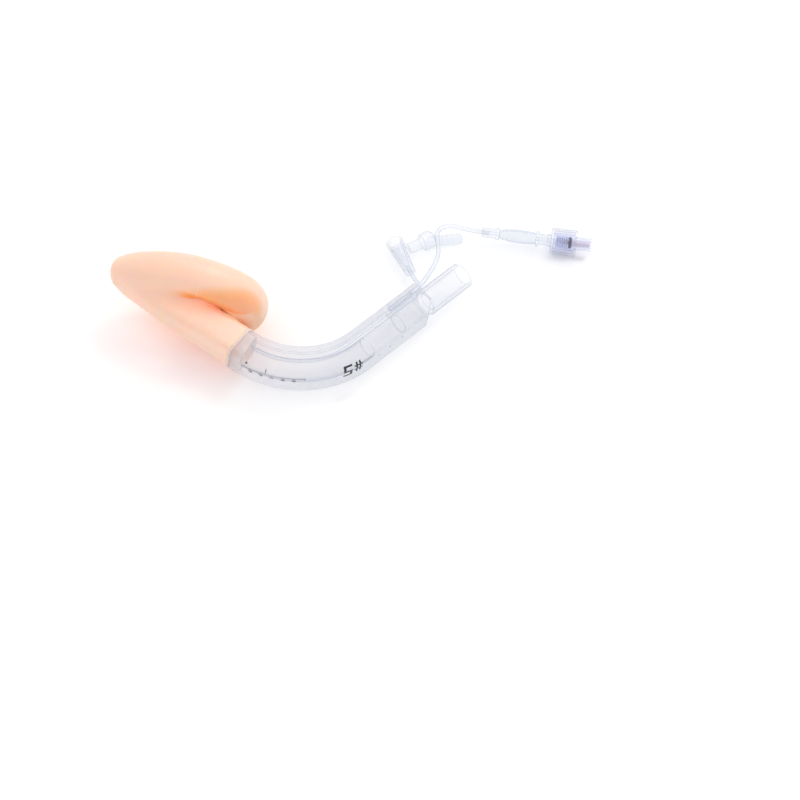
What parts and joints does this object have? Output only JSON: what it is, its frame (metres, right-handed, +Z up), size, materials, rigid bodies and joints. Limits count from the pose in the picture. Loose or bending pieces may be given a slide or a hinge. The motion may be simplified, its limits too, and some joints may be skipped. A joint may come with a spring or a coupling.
{
  "type": "laryngeal mask airway",
  "caption": "Curved clear airway tube with a 15 mm connector, a soft cuffed mask, an inflation line with pilot balloon and valve, and a capped side port.",
  "frame": {"origin": "centre of the footprint of the airway on the surface it lies on, without the free inflation line and the pilot assembly", "axes": "+X roughly from the mask to the machine end, along the longest extent; +Z up from the surface; the mask's bowl opens mostly towards +Y"},
  "size_m": [0.2632, 0.1137, 0.0533],
  "materials": {
    "tube_clear": "clear polished PVC",
    "connector_clear": "clear polished rigid plastic",
    "bite_clear": "clear PVC",
    "mask_silicone": "soft translucent satin silicone",
    "line_clear": "clear flexible PVC line",
    "sleeve_clear": "clear PVC",
    "balloon_clear": "thin clear film",
    "shroud_clear": "clear rigid plastic",
    "valve_blue": "translucent blue-violet plastic",
    "seal_black": "black rubber",
    "plunger_brown": "reddish-brown plastic",
    "spring_steel": "steel wire",
    "port_clear": "clear soft PVC"
  },
  "bodies": {
    "airway": {"airway_tube": "tube_clear", "bite_block": "bite_clear", "connector_15mm": "connector_clear", "mask_bowl": "mask_silicone", "cuff": "mask_silicone", "inflation_line": "line_clear", "inflation_line_root": "line_clear", "pilot_front_sleeve": "sleeve_clear", "pilot_balloon": "balloon_clear", "pilot_rear_sleeve": "sleeve_clear", "valve_shroud": "shroud_clear", "valve_body": "valve_blue", "valve_spring": "spring_steel", "port_line": "port_clear", "port_funnel": "port_clear", "port_plug": "port_clear"},
    "valve_stem": {"valve_plunger": "plunger_brown", "valve_seal": "seal_black"}
  },
  "joints": [
    {"name": "valve_press", "type": "slide", "parent": "airway", "child": "valve_stem", "axis": [-0.988, 0.1547, 0], "range_m": [0, 0.0018], "stiffness_N_per_m": 400, "springref_m": -0.001, "deforming": ["valve_spring"]}
  ]
}
